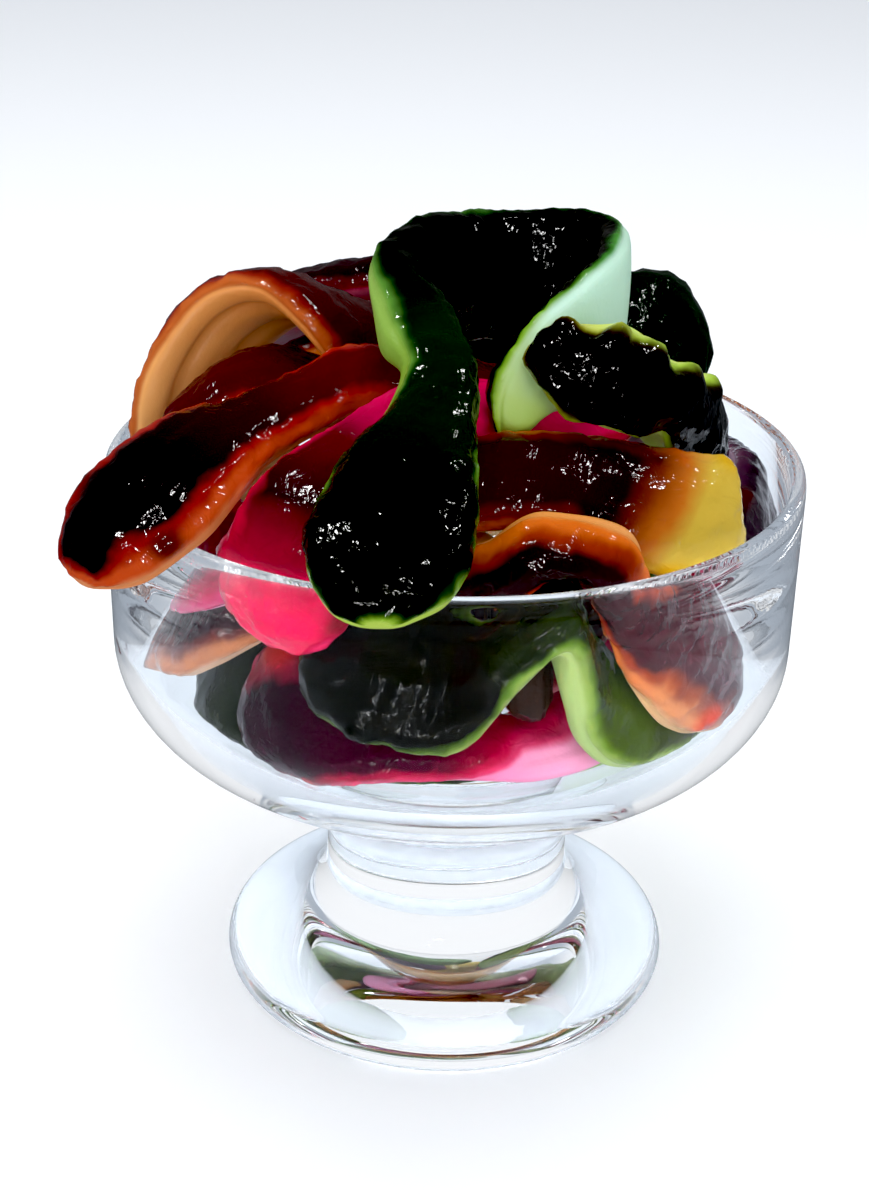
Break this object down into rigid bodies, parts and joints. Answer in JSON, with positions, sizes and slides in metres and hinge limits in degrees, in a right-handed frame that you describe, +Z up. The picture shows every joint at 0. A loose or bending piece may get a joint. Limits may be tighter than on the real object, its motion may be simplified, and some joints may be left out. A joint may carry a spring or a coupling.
{
  "type": "bowl of gummy snakes",
  "caption": "Footed clear glass dessert bowl heaped with giant gummy snakes in green, yellow, orange and pink, coiled over the rim and pressed against the glass.",
  "frame": {"origin": "middle of the foot's flat underside", "axes": "+Z up along the bowl's turning axis, -Y towards the front of the heap, +X to the right seen from the front"},
  "size_m": [0.1209, 0.1376, 0.1437],
  "materials": {
    "clear_glass": "clear pressed glass, polished",
    "green_jelly": "glossy translucent jelly gum, green back over pale foam",
    "lime_jelly": "glossy pale green foam gum",
    "yellow_jelly": "glossy jelly gum running from yellow to dark wine",
    "orange_jelly": "glossy jelly gum running from orange to dark wine",
    "amber_jelly": "glossy brown jelly gum over orange-cream foam",
    "pink_jelly": "glossy pink to crimson jelly gum over pale pink foam",
    "wine_jelly": "glossy dark wine jelly gum"
  },
  "bodies": {
    "root": {"glass_bowl": "clear_glass", "green_front": "green_jelly", "green_arch": "green_jelly", "green_wavy": "green_jelly", "green_center": "green_jelly", "green_floor": "green_jelly", "lime_floor": "lime_jelly", "yellow_head": "yellow_jelly", "yellow_back": "yellow_jelly", "orange_right": "orange_jelly", "orange_left": "orange_jelly", "orange_loop": "orange_jelly", "orange_inner": "orange_jelly", "pink_front": "pink_jelly", "pink_left": "pink_jelly", "pink_bottom": "pink_jelly", "pink_back": "pink_jelly", "crimson_back": "pink_jelly", "amber_left": "amber_jelly", "amber_back": "amber_jelly", "dark_middle": "wine_jelly", "wine_middle": "wine_jelly", "plum_wall": "wine_jelly"}
  },
  "joints": []
}
